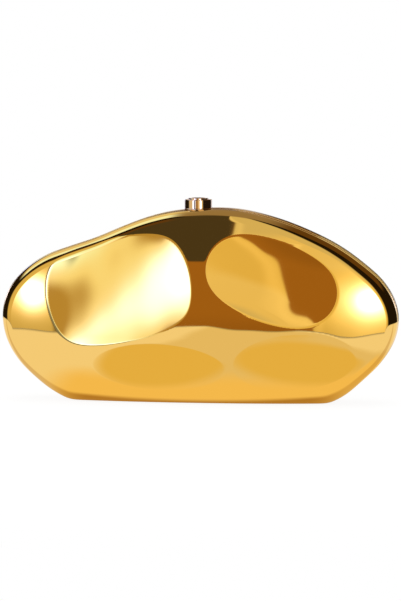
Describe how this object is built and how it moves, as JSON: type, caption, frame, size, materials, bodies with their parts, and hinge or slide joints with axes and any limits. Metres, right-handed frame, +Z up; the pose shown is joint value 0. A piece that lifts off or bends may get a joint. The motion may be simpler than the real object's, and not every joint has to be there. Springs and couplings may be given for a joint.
{
  "type": "clutch bag",
  "caption": "Hard-shell evening clutch with a dimpled mirror-gold body, base hinge, push-button lock and flocked lining.",
  "frame": {"origin": "middle of the base, on the surface that the bag stands on", "axes": "+X along the bag to its right seen from the front, +Z up through the lock, -Y out of the front shell"},
  "size_m": [0.22, 0.054, 0.1128],
  "materials": {
    "gold_shell": "mirror gold plated",
    "frame_metal": "polished pale gold",
    "clasp_metal": "polished rose gold",
    "plated_steel": "gold plated, satin",
    "lining": "velour flock"
  },
  "bodies": {
    "rear_half": {"rear_shell": "gold_shell", "rear_frame": "frame_metal", "rear_lining": "lining", "hinge_leaf_rear": "plated_steel", "hinge_pin": "plated_steel", "hinge_rivet_rear_1": "plated_steel", "hinge_rivet_rear_2": "plated_steel", "hinge_rivet_rear_3": "plated_steel", "hinge_rivet_rear_4": "plated_steel", "lock_sleeve": "clasp_metal", "lock_housing": "plated_steel", "lock_screw_1": "plated_steel", "lock_screw_2": "plated_steel", "return_spring": "plated_steel", "chain_eye_left": "frame_metal", "chain_eye_right": "frame_metal"},
    "front_half": {"front_shell": "gold_shell", "front_frame": "frame_metal", "front_lining": "lining", "hinge_leaf_front": "plated_steel", "hinge_rivet_front_1": "plated_steel", "hinge_rivet_front_2": "plated_steel", "hinge_rivet_front_3": "plated_steel", "hinge_rivet_front_4": "plated_steel", "catch_plate": "plated_steel", "catch_rivet_1": "plated_steel", "catch_rivet_2": "plated_steel"},
    "lock_button": {"push_button": "clasp_metal", "latch_stirrup": "plated_steel", "stirrup_screw": "plated_steel"}
  },
  "joints": [
    {"name": "case_hinge", "type": "hinge", "parent": "rear_half", "child": "front_half", "pos_m": [0, 0, 0.0032], "axis": [1, 0, 0], "range_deg": [0, 70]},
    {"name": "button_press", "type": "slide", "parent": "rear_half", "child": "lock_button", "axis": [0, 0, 1], "range_m": [-0.0016, 0], "stiffness_N_per_m": 2000, "springref_m": 0.001, "deforming": ["return_spring"]}
  ]
}
